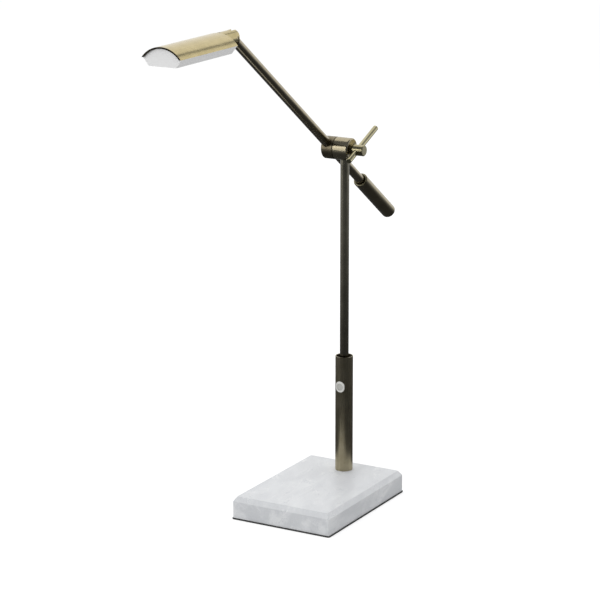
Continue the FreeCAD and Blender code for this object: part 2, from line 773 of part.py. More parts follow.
def make_knuckle():
    """The round knuckle, forked for the arm's tongue, and what it turns on."""
    knuckle = new_body("head_knuckle", HEAD)
    length = "knuckle_front + knuckle_tail"
    round_bar(knuckle, "knuckle", "knuckle_radius", length, ("0", "-knuckle_front", "0"), ALONG_Y)
    rim = rim_at(sheet.knuckle_radius, sheet.knuckle_tail, "y")
    dress(knuckle, "Chamfer", "knuckle_edge", rim, {"Size": "knuckle_edge"})
    tall = "2 * knuckle_radius + 2 * overrun"
    block(knuckle, "fork_slot", ("slot_width", "slot_depth + knuckle_tail + overrun", tall),
          ("-slot_width / 2", "-slot_depth", "-knuckle_radius - overrun"), cut=True)
    drill(knuckle, "pin_hole", "pin_radius + fit_gap", tall, ("-knuckle_radius - overrun", "0", "0"), ALONG_X)
    drill(knuckle, "bolt_hole", "bolt_radius + fit_gap", "bolt_grip + overrun",
          ("0", "-knuckle_front - overrun", "0"), ALONG_Y)
    pin = new_body("tilt_pin", HEAD)
    round_bar(pin, "pin", "pin_radius", "2 * knuckle_radius - 2 * pin_inset",
              ("pin_inset - knuckle_radius", "0", "0"), ALONG_X)
    washers = []
    gap = "(slot_width - tongue_thickness) / 2 - 2 * fit_gap"
    for place in ("tongue_thickness / 2 + fit_gap", "fit_gap - slot_width / 2"):
        washers.append(plain_washer("tongue_radius", "pin_radius + fit_gap", gap, place))
    group("tilt_washers", washers)


def plain_washer(radius, bore, thickness, place):
    """One thin washer on the tilt pin."""
    washer = doc.addObject("Part::Cut", "tilt_washer")
    disc = doc.addObject("Part::Cylinder", "washer_disc")
    hole = doc.addObject("Part::Cylinder", "washer_hole")
    for piece, size in ((disc, radius), (hole, bore)):
        bind(piece, "Radius", size)
        bind(piece, "Height", thickness)
        seat(piece, (f"{place} - arm_side", "pivot_back", "pivot_height"), *ALONG_X)
    washer.Base = disc
    washer.Tool = hole
    return washer


def make_roll_parts():
    """The bolt and washers that the head turns on, at the front of the knuckle."""
    turned("roll_washer", ROLL, ring(
        "bolt_radius + fit_gap", "roll_washer_radius", "knuckle_front", "plate_back"))
    turned("spring_washer", ROLL, ring(
        "bolt_radius + fit_gap", "spring_washer_radius", "plate_front", "plate_front + spring_washer"))
    bolt = new_body("roll_bolt", ROLL)
    head_start = "plate_front + spring_washer"
    shank_start = "knuckle_front - bolt_grip + fit_gap"
    round_bar(bolt, "shank", "bolt_radius", f"{head_start} - ({shank_start})", ("0", "0", shank_start))
    round_bar(bolt, "bolt_head", "bolt_head_radius", "bolt_head", ("0", "0", head_start))
    hexagon(bolt, "bolt_hex", "bolt_hex_flats", "bolt_hex_depth + overrun",
            ("0", "0", head_start + " + bolt_head - bolt_hex_depth"), cut=True)


def arched(body, name, radius, length, back, cut=False):
    """A round bar along the head whose centre is that of the shell's arch."""
    kind = drill if cut else round_bar
    return kind(body, name, radius, length, ("0", f"-({back}) - ({length})", "shell_centre"), ALONG_Y)


def head_place(back):
    """The frame of a piece that starts at a distance in front of the head's pivot."""
    return {"at": ("-arm_side", f"pivot_back - ({back})", "pivot_height")}


def forward(body, sketch, name, start, length, cut=False):
    """A sketch drawn out along the head, or cut from the body, from a start to a length."""
    bind(sketch, "AttachmentOffset.Base.z", start)
    thing = body.newObject("PartDesign::Pocket" if cut else "PartDesign::Pad", name)
    thing.Profile = sketch
    thing.Reversed = cut
    bind(thing, "Length", length)
    doc.recompute()


def make_head_shell():
    """The arched metal shell of the head, open below."""
    shell = new_body("head_shell", HEAD)
    arched(shell, "arch", "shell_radius", "head_length", "head_gap")
    arched(shell, "arch_inside", "shell_bore", "head_length + 2 * overrun", "head_gap - overrun", cut=True)
    size = ("4 * shell_radius", "head_front + overrun", "2 * shell_radius")
    block(shell, "open_side", size,
          ("-2 * shell_radius", "-head_front - overrun", "-edge_drop + head_fit - 2 * shell_radius"), cut=True)


def make_end_plate():
    """The plate that closes the shell's rear end and turns on the knuckle's bolt."""
    body = new_body("head_end_plate", head_place("plate_back"))
    new_crown(body, "plate_crown", "0", "end_plate")
    drill(body, "bolt_hole", "bolt_radius + fit_gap", "end_plate + 2 * overrun",
          ("0", "-end_plate - overrun", "0"), ALONG_Y)
    for side in (-1, 1):
        drill(body, "screw_hole", "plate_screw_radius + fit_gap", "end_plate + 2 * overrun",
              (f"{side} * plate_screw_spread", "-end_plate - overrun", "plate_screw_height"), ALONG_Y)


def new_crown(body, name, start, length):
    """Adds the arched top of a closing wall, cut level with the shell's lower edges."""
    forward(body, crown_sketch(body, name), name, start, length)


def crown_sketch(body, name):
    """A flat-bottomed arch that fits under the shell."""
    origin_plane = next(item for item in body.Origin.OriginFeatures if item.Role == "XZ_Plane")
    sketch = body.newObject("Sketcher::SketchObject", name + "_outline")
    sketch.AttachmentSupport = [(origin_plane, "")]
    sketch.MapMode = "FlatFace"
    radius = places.shell_bore - sheet.head_fit
    centre = places.shell_centre
    half = places.diffuser_half
    edge = -sheet.edge_drop
    start = math.atan2(edge - centre, half)
    circle = Part.Circle(FreeCAD.Vector(0, centre, 0), FreeCAD.Vector(0, 0, 1), radius)
    sketch.addGeometry(Part.ArcOfCircle(circle, start, math.pi - start), False)
    sketch.addGeometry(Part.LineSegment(FreeCAD.Vector(-half, edge, 0), FreeCAD.Vector(half, edge, 0)), False)
    sketch.addConstraint(Sketcher.Constraint("Coincident", 0, 2, 1, 1))
    sketch.addConstraint(Sketcher.Constraint("Coincident", 0, 1, 1, 2))
    sketch.addConstraint(Sketcher.Constraint("PointOnObject", 0, 3, -2))
    sketch.addConstraint(Sketcher.Constraint("Horizontal", 1))
    sized = (("Radius", (0,), radius, "shell_bore - head_fit"),
             ("DistanceY", (-1, 1, 0, 3), centre, "shell_centre"),
             ("DistanceY", (-1, 1, 1, 1), edge, "-edge_drop"))
    for kind, where, value, text in sized:
        index = sketch.addConstraint(Sketcher.Constraint(kind, *where, value))
        title = f"{kind}{index}"
        sketch.renameConstraint(index, title)
        bind(sketch, f"Constraints.{title}", text)
    return sketch


def make_diffuser():
    """The white diffuser: a tapered tray whose front wall goes on up to fill the arch."""
    length = "diffuser_end - diffuser_start"
    body = new_body("diffuser", head_place("diffuser_start"))
    floor = "diffuser_wall - edge_drop - diffuser_drop"
    outside = flared(body, "diffuser_flat / 2", "-edge_drop - diffuser_drop", "tray_half")
    forward(body, outside, "tray", "0", length)
    inside = flared(body, "(diffuser_flat / 2 - diffuser_wall / 2)", floor, "(tray_half - 2 * diffuser_wall)")
    forward(body, inside, "tray_inside", "diffuser_wall", length + " - 2 * diffuser_wall", cut=True)
    new_crown(body, "front_arch", length + " - diffuser_wall", "diffuser_wall")


def flared(body, low_half, low, high_half):
    """The section of the tray or of its inside, which widens upwards to reach under the shell's edges."""
    return outline_sketch(body, "XZ_Plane", [
        (f"-({low_half})", low),
        (low_half, low),
        (high_half, "-edge_drop"),
        (f"-({high_half})", "-edge_drop"),
    ])


def make_head_frame():
    """The aluminium carrier above the lamps, with webs up to the shell and screw bosses."""
    body = new_body("head_frame", HEAD)
    block(body, "carrier", ("frame_width", "frame_length", "frame_plate"),
          ("-frame_width / 2", "-frame_front", "-edge_drop"))
    web_top = ("sqrt((shell_bore - head_fit) * (shell_bore - head_fit)"
               " - (frame_web_spread + frame_web / 2) * (frame_web_spread + frame_web / 2)) + shell_centre")
    for side in (-1, 1):
        block(body, "web", ("frame_web", "frame_length", f"{web_top} - frame_top"),
              (f"{side} * frame_web_spread - frame_web / 2", "-frame_front", "frame_top"))
    for side in (-1, 1):
        across = f"{side} * plate_screw_spread"
        height = "plate_screw_height"
        round_bar(body, "screw_boss", "plate_screw_boss_radius", "2 * frame_start",
                  (across, "-frame_back - frame_start", height), ALONG_Y)
        drill(body, "screw_hole", "plate_screw_radius + fit_gap", "plate_screw_length + overrun",
              (across, "-plate_back - plate_screw_length", height), ALONG_Y)


def make_lamps():
    """The circuit board and its rows of lamps, under the carrier."""
    board = new_body("led_board", HEAD)
    block(board, "board", ("led_board_width", "frame_length - 2 * led_board_margin", "led_board_thickness"),
          ("-led_board_width / 2", "led_board_margin - frame_front", "-edge_drop - led_board_thickness"))
    lamps = []
    run = "(frame_length - 4 * led_board_margin)"
    for row in range(LED_ROWS):
        for column in range(LED_COLUMNS):
            lamp = doc.addObject("Part::Box", "led")
            bind(lamp, "Length", "led_width")
            bind(lamp, "Width", "led_width")
            bind(lamp, "Height", "led_height")
            across = f"led_board_width * ({row} + 0.5) / {LED_ROWS} - led_board_width / 2 - led_width / 2"
            along = f"2 * led_board_margin - frame_front + {run} * ({column} + 0.5) / {LED_COLUMNS}"
            seat(lamp, (f"{across} - arm_side", f"pivot_back + {along} - led_width / 2",
                        "pivot_height - edge_drop - led_board_thickness - led_height"))
            lamps.append(lamp)
    group("led_chips", lamps)


def make_plate_screws():
    """Two round-head screws that hold the end plate to the carrier."""
    screws = []
    for side in (-1, 1):
        screw = doc.addObject("Part::Fuse", "plate_screw")
        head = doc.addObject("Part::Cylinder", "plate_screw_head")
        shank = doc.addObject("Part::Cylinder", "plate_screw_shank")
        bind(head, "Radius", "plate_screw_head_radius")
        bind(head, "Height", "plate_screw_head")
        bind(shank, "Radius", "plate_screw_radius")
        bind(shank, "Height", "plate_screw_length")
        across = f"{side} * plate_screw_spread - arm_side"
        height = "pivot_height + plate_screw_height"
        seat(head, (across, "pivot_back - plate_back", height), *ALONG_Y)
        seat(shank, (across, "pivot_back - plate_back - plate_screw_length", height), *ALONG_Y)
        screw.Base = head
        screw.Tool = shank
        screws.append(screw)
    group("end_plate_screws", screws)


def check_and_write():
    """Stops at anything that failed to build, then writes each sub-part's solid."""
    doc.recompute()
    for thing in doc.Objects:
        if "Invalid" in thing.State or "Error" in thing.State:
            raise RuntimeError(f"{thing.Name} did not build")
    for part in sub_parts:
        if part.Shape.isNull() or not part.Shape.isValid():
            raise RuntimeError(f"{part.Label} has no valid shape")
    os.makedirs("parts", exist_ok=True)
    for part in sub_parts:
        part.Shape.exportStep(f"parts/{part.Label}.step")


def main():
    """Builds every sub-part in the order the lamp is put together."""
    make_base_pad()
    make_marble_base()
    make_cord_grommet()
    make_base_fixings()
    make_switch_sleeve()
    make_post()
    make_button_bezel()
    make_dimmer_button()
    make_dimmer_inside()
    make_leads()
    make_hub_body()
    make_hub_washer()
    make_hub_swivel()
    make_clamp_knob()
    make_arm()
    make_counterweight()
    make_knuckle()
    make_roll_parts()
    make_head_shell()
    make_end_plate()
    make_diffuser()
    make_head_frame()
    make_lamps()
    make_plate_screws()
    check_and_write()


main()
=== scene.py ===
import bpy
import math
from mathutils import Matrix, Vector


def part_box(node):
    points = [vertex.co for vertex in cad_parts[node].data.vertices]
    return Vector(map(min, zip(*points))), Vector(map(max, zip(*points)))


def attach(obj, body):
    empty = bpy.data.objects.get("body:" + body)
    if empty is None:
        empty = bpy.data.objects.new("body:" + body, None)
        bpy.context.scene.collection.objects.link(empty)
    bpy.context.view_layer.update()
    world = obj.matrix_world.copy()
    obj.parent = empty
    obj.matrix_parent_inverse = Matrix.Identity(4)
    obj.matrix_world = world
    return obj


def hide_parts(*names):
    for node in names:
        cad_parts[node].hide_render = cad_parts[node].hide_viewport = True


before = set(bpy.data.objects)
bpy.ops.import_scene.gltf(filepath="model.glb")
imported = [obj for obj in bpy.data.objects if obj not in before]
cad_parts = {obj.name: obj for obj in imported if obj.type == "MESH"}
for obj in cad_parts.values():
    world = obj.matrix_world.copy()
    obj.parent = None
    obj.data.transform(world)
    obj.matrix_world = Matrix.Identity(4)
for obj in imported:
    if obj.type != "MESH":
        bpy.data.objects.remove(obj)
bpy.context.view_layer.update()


# Studio: white floor and room, a soft lamp high at the back, a tall one in front, and the dark cards that
# product photographers put round polished metal, which reflects the room and the front lamp only. The
# camera stands about 3.4 m away, in front and to the right, and looks a little down.

def linear(hex_colour):
    """An sRGB hex colour as the linear colour that a shader takes."""
    shares = [int(hex_colour[place:place + 2], 16) / 255 for place in (1, 3, 5)]
    return [c / 12.92 if c <= 0.04045 else ((c + 0.055) / 1.055) ** 2.4 for c in shares] + [1.0]


def add(tree, kind, sockets=None, **settings):
    """Adds one node, with its settings and with a value or a link for each socket.

    Sockets that share a name go by number. On a Map Range, 1 and 2 are the range that comes in, and 3 and 4
    the range that goes out. On a Mix of colours, 0 is the share of the second, and 6 and 7 are the colours.
    """
    node = tree.nodes.new(kind)
    for name, value in settings.items():
        setattr(node, name, value)
    for name, value in (sockets or {}).items():
        if isinstance(value, bpy.types.NodeSocket):
            tree.links.new(value, node.inputs[name])
        else:
            node.inputs[name].default_value = value
    return node


def new_finish(name):
    """An empty material and its node tree, ready for its own shader."""
    material = bpy.data.materials.new(name)
    material.use_nodes = True
    material.node_tree.nodes.clear()
    return material, material.node_tree


CAMERA_PLACE = Vector((1.61376, -2.87187, 1.17242))
CAMERA_TURN = math.radians(29.796)
CAMERA_DIP = math.radians(14.784)
CAMERA_ROLL = math.radians(-0.095)
FOCAL_PIXELS = 2438.1
IMAGE_PIXELS = 600

forward = Vector((-math.sin(CAMERA_TURN) * math.cos(CAMERA_DIP),
                  math.cos(CAMERA_TURN) * math.cos(CAMERA_DIP), -math.sin(CAMERA_DIP)))
level = Vector((math.cos(CAMERA_TURN), math.sin(CAMERA_TURN), 0))
upward = level.cross(forward)
right = level * math.cos(CAMERA_ROLL) + upward * math.sin(CAMERA_ROLL)
top = right.cross(forward)
camera_data = bpy.data.cameras.new("camera")
camera_data.sensor_width = 36
camera_data.lens = camera_data.sensor_width * FOCAL_PIXELS / IMAGE_PIXELS
camera_data.clip_end = 100
camera = bpy.data.objects.new("camera", camera_data)
camera.matrix_world = Matrix.Translation(CAMERA_PLACE) @ Matrix((right, top, -forward)).transposed().to_4x4()
bpy.context.scene.collection.objects.link(camera)
bpy.context.scene.camera = camera
bpy.context.scene.view_settings.view_transform = "Standard"


def seen_as_background(tree):
    """1 for the rays that should meet a plain white background, and 0 for the ones that light things."""
    ray = add(tree, "ShaderNodeLightPath")
    first = add(tree, "ShaderNodeMath", {0: ray.outputs["Is Camera Ray"], 1: ray.outputs["Is Glossy Ray"]},
                operation="MAXIMUM")
    both = add(tree, "ShaderNodeMath", {0: first.outputs[0], 1: ray.outputs["Is Transmission Ray"]},
               operation="MAXIMUM")
    return both.outputs[0]


ROOM_LIGHT = 0.67

room = bpy.data.worlds.new("white_room")
room.use_nodes = True
tree = room.node_tree
tree.nodes.clear()
strength = add(tree, "ShaderNodeMapRange", {0: seen_as_background(tree), 3: ROOM_LIGHT, 4: 1.0})
light = add(tree, "ShaderNodeBackground", {"Color": linear("#FFFFFF"), "Strength": strength.outputs[0]})
add(tree, "ShaderNodeOutputWorld", {"Surface": light.outputs[0]})
bpy.context.scene.world = room


def soft_lamp(name, place, target, size, power):
    """A soft lamp of a width and a height, which faces a point."""
    data = bpy.data.lights.new(name, "AREA")
    data.shape = "RECTANGLE"
    data.size, data.size_y = size
    data.energy = power
    lamp = bpy.data.objects.new(name, data)
    aim = (Vector(target) - Vector(place)).to_track_quat("-Z", "Y")
    lamp.matrix_world = Matrix.Translation(place) @ aim.to_matrix().to_4x4()
    bpy.context.scene.collection.objects.link(lamp)
    return lamp


back_lamp = soft_lamp("back_lamp", place=(-0.6, 0.7, 2.3), target=(0, 0.07, 0.1), size=(2.6, 2.6), power=13.5)
back_lamp.visible_glossy = False
soft_lamp("front_lamp", place=(-1.03, -1.45, 0.79), target=(0, 0.07, 0.5), size=(0.36, 1.16), power=3.6)


def stage_mesh(name, corners, faces, material):
    """A plain surface of the studio, which is no part of the lamp."""
    mesh = bpy.data.meshes.new(name)
    mesh.from_pydata(corners, [], faces)
    mesh.materials.append(material)
    thing = bpy.data.objects.new(name, mesh)
    bpy.context.scene.collection.objects.link(thing)
    return thing


FLOOR_REACH = 30.0
FLOOR_GLOW = 0.5

floor_paper, tree = new_finish("matt_white_paper")
paper = add(tree, "ShaderNodeBsdfDiffuse", {"Color": linear("#E2E2E2")})
glow = add(tree, "ShaderNodeEmission", {"Color": linear("#FFFFFF"), "Strength": FLOOR_GLOW})
dark = add(tree, "ShaderNodeEmission", {"Color": linear("#000000")})
shown = add(tree, "ShaderNodeMixShader", {0: seen_as_background(tree), 1: dark.outputs[0], 2: glow.outputs[0]})
both = add(tree, "ShaderNodeAddShader", {0: paper.outputs[0], 1: shown.outputs[0]})
add(tree, "ShaderNodeOutputMaterial", {"Surface": both.outputs[0]})
stage_mesh("floor", [(across * FLOOR_REACH, along * FLOOR_REACH, 0)
                     for across, along in ((-1, -1), (1, -1), (1, 1), (-1, 1))], [(0, 1, 2, 3)], floor_paper)


def card_mesh(name, corners, faces, material):
    """A stage surface that only reflections see, so that it neither shades nor hides anything."""
    card = stage_mesh(name, corners, faces, material)
    for ray in ("camera", "diffuse", "shadow", "transmission", "volume_scatter"):
        setattr(card, "visible_" + ray, False)


def card_finish(name, middle, near, far):
    """Dark cloth that reflects more with the distance from its middle: near and far are (distance, strength)."""
    material, tree = new_finish(name)
    place = add(tree, "ShaderNodeTexCoord")
    apart = add(tree, "ShaderNodeVectorMath", {0: place.outputs["Object"], 1: middle}, operation="DISTANCE")
    strength = add(tree, "ShaderNodeMapRange", {0: apart.outputs["Value"], 1: near[0], 2: far[0],
                                                3: near[1], 4: far[1]}, interpolation_type="SMOOTHSTEP")
    cloth = add(tree, "ShaderNodeEmission", {"Color": linear("#F0F5FF"), "Strength": strength.outputs[0]})
    add(tree, "ShaderNodeOutputMaterial", {"Surface": cloth.outputs[0]})
    return material


def round_corners(radius, height, turns):
    """Points at a distance from the upright axis, at the given turns from the camera's side."""
    side = CAMERA_TURN - math.pi / 2
    return [(radius * math.cos(side + turn), radius * math.sin(side + turn), height) for turn in turns]


CARD_STEPS = 48
FLOOR_CARD_RADIUS = 3.6
FLOOR_CARD_LIFT = 0.0005

around = [2 * math.pi * step / CARD_STEPS for step in range(CARD_STEPS)]
cloth = card_finish("dark_cloth_on_floor", middle=(0.3, -0.1, 0), near=(0.6, 0.06), far=(3.1, 0.6))
card_mesh("floor_card", round_corners(FLOOR_CARD_RADIUS, FLOOR_CARD_LIFT, around), [tuple(range(CARD_STEPS))], cloth)

CARD_RADIUS = 2.1
CARD_HEIGHT = 2.3
HALF_ARC = math.radians(105)

arc = [-HALF_ARC + 2 * HALF_ARC * step / CARD_STEPS for step in range(CARD_STEPS + 1)]
cloth = card_finish("dark_cloth_behind_camera", middle=(1.0, -1.8, 0.6), near=(1.4, 0.05), far=(3.6, 0.5))
card_mesh("camera_side_card", round_corners(CARD_RADIUS, 0, arc) + round_corners(CARD_RADIUS, CARD_HEIGHT, arc),
          [(step, step + 1, step + CARD_STEPS + 2, step + CARD_STEPS + 1) for step in range(CARD_STEPS)], cloth)
cloth = card_finish("dark_cloth_overhead", middle=(0, 0, CARD_HEIGHT), near=(0.5, 0.12), far=(2.2, 0.2))
card_mesh("overhead_card", round_corners(CARD_RADIUS, CARD_HEIGHT, arc), [tuple(range(CARD_STEPS + 1))], cloth)

BACK_CARD_MIDDLE = (0.4, 3.0, 2.6)
BACK_CARD_HALF = 0.21
BACK_CARD_FOOT = 1.5
BACK_CARD_TOP = 4.2

across, along, _ = BACK_CARD_MIDDLE
cloth = card_finish("dark_cloth_at_back", middle=BACK_CARD_MIDDLE, near=(0.0, 0.24), far=(2.0, 0.4))
card_mesh("back_card", [(across + side * BACK_CARD_HALF, along, height) for side, height in (
    (-1, BACK_CARD_FOOT), (1, BACK_CARD_FOOT), (1, BACK_CARD_TOP), (-1, BACK_CARD_TOP))], [(0, 1, 2, 3)], cloth)


# Pad: a thin sheet of dark synthetic rubber under the slab, cut a little larger than it and glued on.
# It keeps the stone off the desk and shows as one dark line round the slab's foot.

def coat(material, *nodes):
    """Gives CAD pieces their finish."""
    for name in nodes:
        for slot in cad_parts[name].material_slots:
            slot.material = material


MM = 0.001
RUBBER_GRAIN = 0.6 * MM  # Real grain is about 0.2 mm, too fine to show, so it is drawn coarser.

rubber, tree = new_finish("moulded_synthetic_rubber")
place = add(tree, "ShaderNodeTexCoord")
grain = add(tree, "ShaderNodeTexNoise", {"Vector": place.outputs["Object"], "Scale": 1 / RUBBER_GRAIN,
                                         "Detail": 3.0})
tone = add(tree, "ShaderNodeMix", {0: grain.outputs["Fac"], 6: linear("#343434"), 7: linear("#484846")},
           data_type="RGBA")
bumps = add(tree, "ShaderNodeBump", {"Height": grain.outputs["Fac"], "Strength": 0.3, "Distance": 0.1 * MM})
skin = add(tree, "ShaderNodeBsdfPrincipled", {"Base Color": tone.outputs[2], "Roughness": 0.75, "IOR": 1.52,
                                              "Normal": bumps.outputs[0]})
add(tree, "ShaderNodeOutputMaterial", {"Surface": skin.outputs[0]})
coat(rubber, "base_pad")


# Slab: one block of white marble, sawn, chamfered all round its top edge and honed to a soft shine.
# Clouds of pale grey and broken white and grey veins run lengthwise through the block, with clusters of
# white grains. Its sawn sides cross the bed and are the more patchy.

CLOUD_SIZE = 26 * MM
PATCH_SIZE = 20 * MM
VEIN_SPACING = 30 * MM
GRAIN_SPACING = 2.8 * MM
SPECK_SIZE = 2.2 * MM
BED_STRETCH = (1.0, 2.8, 0.9)
BED_TURN = (0.2, 0.15, math.radians(15))

marble, tree = new_finish("honed_white_marble")
place = add(tree, "ShaderNodeTexCoord")
bedded = add(tree, "ShaderNodeMapping", {"Vector": place.outputs["Object"], "Rotation": BED_TURN,
                                         "Scale": BED_STRETCH}, vector_type="TEXTURE")

# Clouds all through, and duller patches on the sawn sides only.
drift = add(tree, "ShaderNodeTexNoise", {"Vector": bedded.outputs[0], "Scale": 1 / CLOUD_SIZE, "Detail": 4.0,
                                         "Roughness": 0.5, "Distortion": 0.5})
cloud = add(tree, "ShaderNodeValToRGB", {"Fac": drift.outputs["Fac"]})
for stop, position, cloud_hex in zip(cloud.color_ramp.elements, (0.34, 0.64), ("#E8EAED", "#F3F5F7")):
    stop.position = position
    stop.color = linear(cloud_hex)
patch = add(tree, "ShaderNodeTexNoise", {"Vector": bedded.outputs[0], "Scale": 1 / PATCH_SIZE, "Detail": 3.0,
                                         "Roughness": 0.5, "Distortion": 0.8})
facing = add(tree, "ShaderNodeSeparateXYZ", {0: place.outputs["Normal"]})
sawn = add(tree, "ShaderNodeMapRange", {0: facing.outputs["Z"], 1: 0.3, 2: 0.8, 3: 1.0, 4: 0.12})
dull = add(tree, "ShaderNodeMapRange", {0: patch.outputs["Fac"], 1: 0.34, 2: 0.62, 3: 0.5, 4: 0.0},
           interpolation_type="SMOOTHSTEP")
across_bed = add(tree, "ShaderNodeMath", {0: sawn.outputs[0], 1: dull.outputs[0]}, operation="MULTIPLY")
clouded = add(tree, "ShaderNodeMix", {0: across_bed.outputs[0], 6: cloud.outputs["Color"], 7: linear("#D3D6DA")},
              data_type="RGBA")

# A grey and a white vein, broken by the patches. Each follows one level of the same flow.
flow = add(tree, "ShaderNodeTexNoise", {"Vector": bedded.outputs[0], "Scale": 1 / VEIN_SPACING, "Detail": 5.0,
                                        "Roughness": 0.6, "Distortion": 1.1})
broken = add(tree, "ShaderNodeMapRange", {0: patch.outputs["Fac"], 1: 0.5, 2: 0.6})
veined = clouded
for level, width, strength, vein_hex in ((0.45, 0.014, 0.75, "#D2D5DA"), (0.51, 0.016, 0.8, "#FCFDFE")):
    apart = add(tree, "ShaderNodeMath", {0: flow.outputs["Fac"], 1: level}, operation="SUBTRACT")
    thin = add(tree, "ShaderNodeMath", {0: apart.outputs[0]}, operation="ABSOLUTE")
    line = add(tree, "ShaderNodeMapRange", {0: thin.outputs[0], 1: 0.0, 2: width, 3: strength, 4: 0.0})
    vein = add(tree, "ShaderNodeMath", {0: line.outputs[0], 1: broken.outputs[0]}, operation="MULTIPLY")
    veined = add(tree, "ShaderNodeMix", {0: vein.outputs[0], 6: veined.outputs[2], 7: linear(vein_hex)},
                 data_type="RGBA")

# White sugar grains in clusters, then a faint speckle that the shine follows.
grains = add(tree, "ShaderNodeTexVoronoi", {"Vector": bedded.outputs[0], "Scale": 1 / GRAIN_SPACING})
sugar = add(tree, "ShaderNodeMapRange", {0: grains.outputs["Distance"], 1: 0.1, 2: 0.35, 3: 0.8, 4: 0.0},
            interpolation_type="SMOOTHSTEP")
clustered = add(tree, "ShaderNodeMapRange", {0: patch.outputs["Fac"], 1: 0.56, 2: 0.64})
milky = add(tree, "ShaderNodeMath", {0: sugar.outputs[0], 1: clustered.outputs[0]}, operation="MULTIPLY")
spotted = add(tree, "ShaderNodeMix", {0: milky.outputs[0], 6: veined.outputs[2], 7: linear("#FAFBFC")},
              data_type="RGBA")
speck = add(tree, "ShaderNodeTexNoise", {"Vector": place.outputs["Object"], "Scale": 1 / SPECK_SIZE, "Detail": 4.0})
bright = add(tree, "ShaderNodeMapRange", {0: speck.outputs["Fac"], 1: 0.3, 2: 0.7, 3: 0.965, 4: 1.02})
stone = add(tree, "ShaderNodeMix", {0: 1.0, 6: spotted.outputs[2], 7: bright.outputs[0]},
            data_type="RGBA", blend_type="MULTIPLY")
gloss = add(tree, "ShaderNodeMapRange", {0: speck.outputs["Fac"], 1: 0.3, 2: 0.7, 3: 0.36, 4: 0.48})
slab = add(tree, "ShaderNodeBsdfPrincipled", {"Base Color": stone.outputs[2], "Roughness": gloss.outputs[0],
                                              "IOR": 1.49})
add(tree, "ShaderNodeOutputMaterial", {"Surface": slab.outputs[0]})
coat(marble, "marble_base")


# Cord inlet: a moulded rubber bush pressed into the hole in the slab's rear face.
# It has the same dark rubber as the pad.

coat(rubber, "cord_grommet")


# Post fixing: washer, nut, hollow threaded rod and foot plug, all zinc-plated steel, hidden in the
# slab's recess and in the sleeve. The plating is bluish grey with soft blotches.

PLATING_BLOTCH = 4 * MM

zinc, tree = new_finish("zinc_plated_steel")
place = add(tree, "ShaderNodeTexCoord")
blotch = add(tree, "ShaderNodeTexNoise", {"Vector": place.outputs["Object"], "Scale": 1 / PLATING_BLOTCH,
                                          "Detail": 4.0})
tone = add(tree, "ShaderNodeMix", {0: blotch.outputs["Fac"], 6: linear("#A9ACB0"), 7: linear("#C9CBCC")},
           data_type="RGBA")
gloss = add(tree, "ShaderNodeMapRange", {0: blotch.outputs["Fac"], 3: 0.25, 4: 0.45})
metal = add(tree, "ShaderNodeBsdfPrincipled", {"Base Color": tone.outputs[2], "Metallic": 1.0,
                                               "Roughness": gloss.outputs[0]})
add(tree, "ShaderNodeOutputMaterial", {"Surface": metal.outputs[0]})
coat(zinc, "base_washer", "base_nut", "threaded_rod", "sleeve_foot")


# Sleeve: 25 mm drawn brass tube with an antique finish, which is a brown-black patina brushed back
# to olive brass and lacquered. Drawing leaves fine lines along the tube.

LINE_WIDTH = 0.35 * MM  # Real lines are about 0.05 mm wide, too fine to show, so they are drawn wider.
LINE_RELIEF = 0.03 * MM
DRAWN_LINE = 0.012  # A line's width as a share of its length.
PATINA_SIZE = 16 * MM


def patina_tone(tree, place, dark_hex, pale_hex):
    """The brass colour, darker where brushing has left more of the patina."""
    patina = add(tree, "ShaderNodeTexNoise", {"Vector": place.outputs["Object"], "Scale": 1 / PATINA_SIZE,
                                              "Detail": 5.0, "Roughness": 0.6})
    aged = add(tree, "ShaderNodeMapRange", {0: patina.outputs["Fac"], 1: 0.3, 2: 0.7})
    tone = add(tree, "ShaderNodeMix", {0: aged.outputs[0], 6: linear(dark_hex), 7: linear(pale_hex)},
               data_type="RGBA")
    return tone.outputs[2]


def lined_metal(tree, colour, lines, smooth, rough, depth):
    """Ends a brass finish: its fine lines change its roughness and stand out a little."""
    gloss = add(tree, "ShaderNodeMapRange", {0: lines.outputs["Fac"], 1: 0.25, 2: 0.75, 3: smooth, 4: rough})
    relief = add(tree, "ShaderNodeBump", {"Height": lines.outputs["Fac"], "Strength": depth,
                                          "Distance": LINE_RELIEF})
    metal = add(tree, "ShaderNodeBsdfPrincipled", {"Base Color": colour, "Metallic": 1.0,
                                                   "Roughness": gloss.outputs[0], "Normal": relief.outputs[0]})
    add(tree, "ShaderNodeOutputMaterial", {"Surface": metal.outputs[0]})


def antique_brass(name, along, dark_hex, pale_hex, shine):
    """Brass with a brushed-back brown patina, whose fine lines run along a direction."""
    material, tree = new_finish(name)
    place = add(tree, "ShaderNodeTexCoord")
    turn = Vector((0, 0, 1)).rotation_difference(Vector(along)).inverted().to_euler()
    straight = add(tree, "ShaderNodeMapping", {"Vector": place.outputs["Object"], "Rotation": turn})
    drawn_out = add(tree, "ShaderNodeMapping", {"Vector": straight.outputs[0], "Scale": (1.0, 1.0, DRAWN_LINE)})
    lines = add(tree, "ShaderNodeTexNoise", {"Vector": drawn_out.outputs[0], "Scale": 1 / LINE_WIDTH, "Detail": 2.0})
    streak = add(tree, "ShaderNodeMapRange", {0: lines.outputs["Fac"], 1: 0.25, 2: 0.75, 3: 0.86, 4: 1.1})
    brushed = add(tree, "ShaderNodeMix", {0: 1.0, 6: patina_tone(tree, place, dark_hex, pale_hex),
                                          7: streak.outputs[0]}, data_type="RGBA", blend_type="MULTIPLY")
    lined_metal(tree, brushed.outputs[2], lines, smooth=shine - 0.05, rough=shine + 0.07, depth=0.12)
    return material


sleeve_brass = antique_brass("antique_brass_sleeve", (0, 0, 1), "#A3997E", "#B5AB90", shine=0.3)
coat(sleeve_brass, "switch_sleeve")


